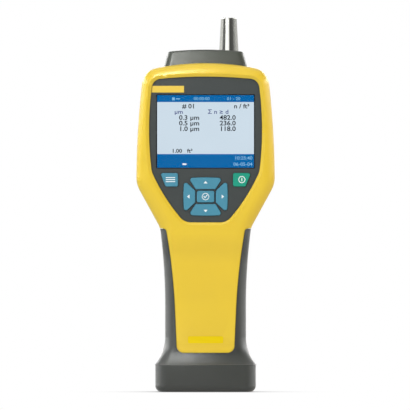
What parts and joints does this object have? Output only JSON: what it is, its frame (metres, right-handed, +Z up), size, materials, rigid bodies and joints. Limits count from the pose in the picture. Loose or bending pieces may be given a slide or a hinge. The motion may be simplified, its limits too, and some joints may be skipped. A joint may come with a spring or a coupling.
{
  "type": "airborne particle counter",
  "caption": "Handheld airborne particle counter with a colour display, keypad, waisted rubber-sided handle, flared foot and lift-off steel inlet probe.",
  "frame": {"origin": "centre of the underside of the foot, on the surface it stands on", "axes": "+Z up along the handle, +X to the user's right, +Y from the display to the back"},
  "size_m": [0.1004, 0.053, 0.2713],
  "materials": {
    "yellow_plastic": "satin moulded",
    "dark_rubber": "satin moulded rubber",
    "dark_plastic": "satin moulded",
    "bezel_plastic": "satin",
    "strip_yellow": "printed plate",
    "window_glass": "clear",
    "black_foam": "matt",
    "display_panel": "lit panel in a metal frame",
    "blue_key": "satin moulded",
    "green_key": "satin moulded",
    "grey_silicone": "matt silicone",
    "board_green": "solder mask",
    "steel": "turned and polished",
    "screw_steel": "zinc plated",
    "fitting_brass": "turned, nickel worn",
    "oring_rubber": "matt",
    "sensor_alloy": "black anodised",
    "laser_brass": "turned",
    "pump_plastic": "moulded",
    "motor_can": "drawn can",
    "filter_plastic": "translucent shell",
    "clear_hose": "soft tube",
    "tray_plastic": "moulded",
    "cell_wrap": "shrink wrap",
    "contact_gold": "sprung, plated",
    "socket_metal": "stamped shell",
    "socket_plastic": "moulded"
  },
  "bodies": {
    "housing": {"front_shell": "yellow_plastic", "rear_shell": "yellow_plastic", "grip_boot": "dark_rubber", "top_cap": "dark_plastic", "bezel": "bezel_plastic", "name_strip": "strip_yellow", "screen_window": "window_glass", "window_gasket": "black_foam", "lcd_module": "display_panel", "keypad_mat": "grey_silicone", "main_board": "board_green", "board_screws": "screw_steel", "case_screws": "screw_steel", "inlet_fitting": "fitting_brass", "inlet_oring": "oring_rubber", "sensor_block": "sensor_alloy", "laser_module": "laser_brass", "detector_board": "board_green", "pump_head": "pump_plastic", "pump_motor": "motor_can", "exhaust_filter": "filter_plastic", "sample_hose": "clear_hose", "exhaust_hose": "clear_hose", "battery_tray": "tray_plastic", "battery_pack": "cell_wrap", "battery_contacts": "contact_gold", "io_board": "board_green", "network_socket": "socket_metal", "usb_socket": "socket_metal", "power_socket": "socket_plastic", "buzzer": "pump_plastic"},
    "probe": {"inlet_probe": "steel"},
    "door": {"battery_door": "dark_plastic"},
    "key_up": {"key_up": "blue_key"},
    "key_down": {"key_down": "blue_key"},
    "key_left": {"key_left": "blue_key"},
    "key_right": {"key_right": "blue_key"},
    "key_enter": {"key_enter": "blue_key"},
    "key_menu": {"key_menu": "blue_key"},
    "key_power": {"key_power": "green_key"}
  },
  "joints": [
    {"name": "key_up_press", "type": "slide", "parent": "housing", "child": "key_up", "axis": [0, 1, 0], "range_m": [0, 0.0007], "stiffness_N_per_m": 900},
    {"name": "key_down_press", "type": "slide", "parent": "housing", "child": "key_down", "axis": [0, 1, 0], "range_m": [0, 0.0007], "stiffness_N_per_m": 900},
    {"name": "key_left_press", "type": "slide", "parent": "housing", "child": "key_left", "axis": [0, 1, 0], "range_m": [0, 0.0007], "stiffness_N_per_m": 900},
    {"name": "key_right_press", "type": "slide", "parent": "housing", "child": "key_right", "axis": [0, 1, 0], "range_m": [0, 0.0007], "stiffness_N_per_m": 900},
    {"name": "key_enter_press", "type": "slide", "parent": "housing", "child": "key_enter", "axis": [0, 1, 0], "range_m": [0, 0.0007], "stiffness_N_per_m": 900},
    {"name": "key_menu_press", "type": "slide", "parent": "housing", "child": "key_menu", "axis": [0, 1, 0], "range_m": [0, 0.0007], "stiffness_N_per_m": 900},
    {"name": "key_power_press", "type": "slide", "parent": "housing", "child": "key_power", "axis": [0, 1, 0], "range_m": [0, 0.0007], "stiffness_N_per_m": 900},
    {"name": "probe_lift", "type": "slide", "parent": "housing", "child": "probe", "axis": [0, 0, 1], "range_m": [0, 0.03]},
    {"name": "door_lift", "type": "slide", "parent": "housing", "child": "door", "axis": [0, 1, 0], "range_m": [0, 0.03]}
  ]
}
